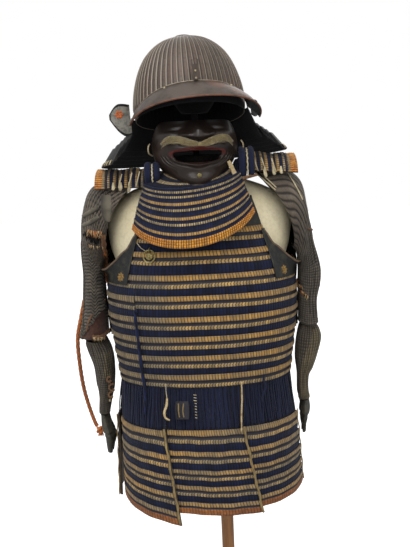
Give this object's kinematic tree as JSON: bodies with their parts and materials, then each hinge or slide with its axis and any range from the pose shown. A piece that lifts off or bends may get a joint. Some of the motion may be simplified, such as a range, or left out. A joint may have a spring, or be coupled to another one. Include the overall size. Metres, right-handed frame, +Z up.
{
  "type": "samurai armour on a dress form stand",
  "caption": "Laced samurai armour with a ribbed helmet, half mask, cuirass, skirt and hanging sleeves, worn by a limbless linen dress form on a wooden pole stand.",
  "frame": {"origin": "middle of the stand base's underside, on the pole's axis, on the floor", "axes": "+Z up, the armour faces -Y, its own right arm is at -X"},
  "size_m": [0.5801, 0.4225, 1.6908],
  "materials": {
    "linen": "plain weave, matt",
    "black_wood": "painted black, matt",
    "lacing": "braided silk lacing over lacquered boards",
    "leather": "printed and smoked, matt",
    "mail_cloth": "ribbed hemp cloth, worn",
    "iron": "russet, worn",
    "black_lacquer": "black lacquer over iron",
    "mask_lacquer": "dark brown lacquer over iron, half gloss",
    "hair": "bristle hair, matt",
    "brass": "dark, aged",
    "orange_cord": "twisted silk cord",
    "wood": "turned, oiled"
  },
  "bodies": {
    "armour": {"dress_form": "linen", "head_post": "black_wood", "body_lame_1": "lacing", "body_lame_2": "lacing", "body_lame_3": "lacing", "body_lame_4": "lacing", "body_lame_5": "lacing", "body_lame_6": "lacing", "chest_lame_1": "lacing", "chest_lame_2": "lacing", "back_lame_1": "lacing", "back_lame_2": "lacing", "back_lame_3": "lacing", "chest_plate": "leather", "back_plate": "leather", "side_plate_right": "leather", "side_plate_left": "leather", "shoulder_strap_right": "leather", "shoulder_strap_left": "leather", "skirt_panel_front": "lacing", "skirt_panel_front_left": "lacing", "skirt_panel_back_left": "lacing", "skirt_panel_back_middle_left": "lacing", "skirt_panel_back_middle_right": "lacing", "skirt_panel_back_right": "lacing", "skirt_panel_front_right": "lacing", "shoulder_wing_right": "lacing", "shoulder_wing_left": "lacing", "shoulder_pad_left": "lacing", "upper_sleeve_right": "mail_cloth", "forearm_sleeve_right": "mail_cloth", "hand_guard_right": "leather", "upper_sleeve_left": "mail_cloth", "forearm_sleeve_left": "mail_cloth", "hand_guard_left": "leather", "helmet_bowl": "iron", "crown_ring": "iron", "brim": "iron", "crest_holder": "iron", "neck_guard_lame_1": "black_lacquer", "neck_guard_lame_2": "black_lacquer", "neck_guard_lame_3": "black_lacquer", "neck_guard_lame_4": "black_lacquer", "neck_guard_lame_5": "black_lacquer", "turned_flap_right": "leather", "turned_flap_left": "leather", "face_mask": "mask_lacquer", "moustache": "hair", "cheek_hook_right": "brass", "cheek_hook_left": "brass", "throat_guard": "lacing", "helmet_rest": "black_wood", "chest_rosette": "brass", "chest_staple": "brass", "blue_cord": "lacing", "orange_cord": "orange_cord", "orange_cord_knot": "orange_cord", "stand_base": "wood", "stand_pole": "wood"},
    "ring": {"chest_ring": "brass"}
  },
  "joints": [
    {"name": "ring_swing", "type": "hinge", "parent": "armour", "child": "ring", "pos_m": [-0.14561, -0.12023, 1.2282], "axis": [-0.9266, 0.3761, 0], "range_deg": [0, 95]}
  ]
}
